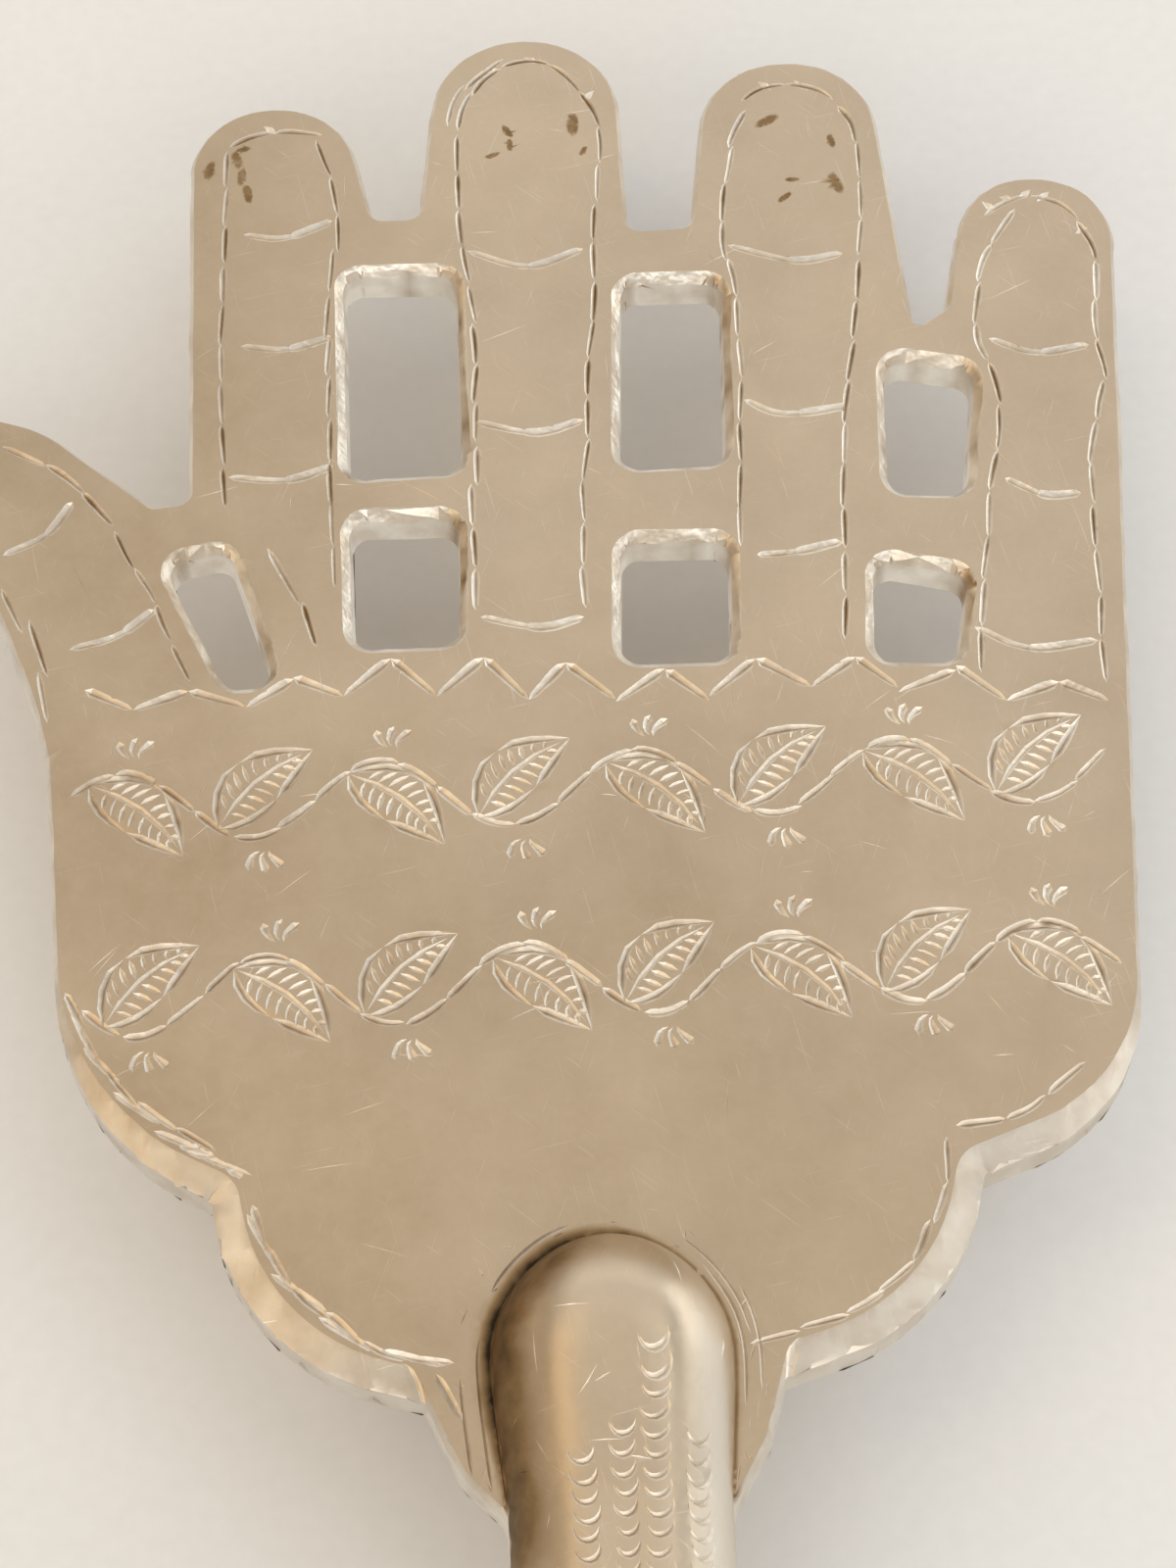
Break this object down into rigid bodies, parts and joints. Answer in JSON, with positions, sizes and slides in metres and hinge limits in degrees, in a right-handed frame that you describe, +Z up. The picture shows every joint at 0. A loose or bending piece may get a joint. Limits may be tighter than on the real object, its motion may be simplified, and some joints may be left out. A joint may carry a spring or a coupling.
{
  "type": "yad torah pointer",
  "caption": "Silver pointer for reading: flat pierced and engraved hand on a slotted faceted stem, faceted hollow knops, tube handle and a loose hanging ring.",
  "frame": {"origin": "middle of the upper knop's lower square facet, on which the pointer lies", "axes": "+Y along the pointer to the fingertips, +Z up out of the engraved face, +X towards the little finger"},
  "size_m": [0.0394, 0.2079, 0.0125],
  "materials": {
    "engraved_silver": "worn satin silver, hand engraved",
    "forged_silver": "polished forged silver with punch marks",
    "handle_silver": "worn polished silver",
    "wire_silver": "silver wire with darkened hollows"
  },
  "bodies": {
    "pointer": {"hand_plate": "engraved_silver", "stem": "forged_silver", "stem_wire": "wire_silver", "stem_collar": "handle_silver", "upper_knop_front": "handle_silver", "upper_knop_rear": "handle_silver", "handle_front_collar": "handle_silver", "handle_front_wire": "wire_silver", "handle_tube": "handle_silver", "handle_band": "handle_silver", "handle_rear_wire": "wire_silver", "handle_rear_collar": "handle_silver", "end_knop_front": "handle_silver", "end_knop_rear": "handle_silver", "core_rod": "handle_silver", "finial_cap": "handle_silver", "eye": "wire_silver"},
    "ring": {"suspension_ring": "wire_silver"}
  },
  "joints": [
    {"name": "ring_swing", "type": "hinge", "parent": "pointer", "child": "ring", "pos_m": [0, -0.11765, 0.00625], "axis": [1, 0, 0], "range_deg": [-165, 99]}
  ]
}
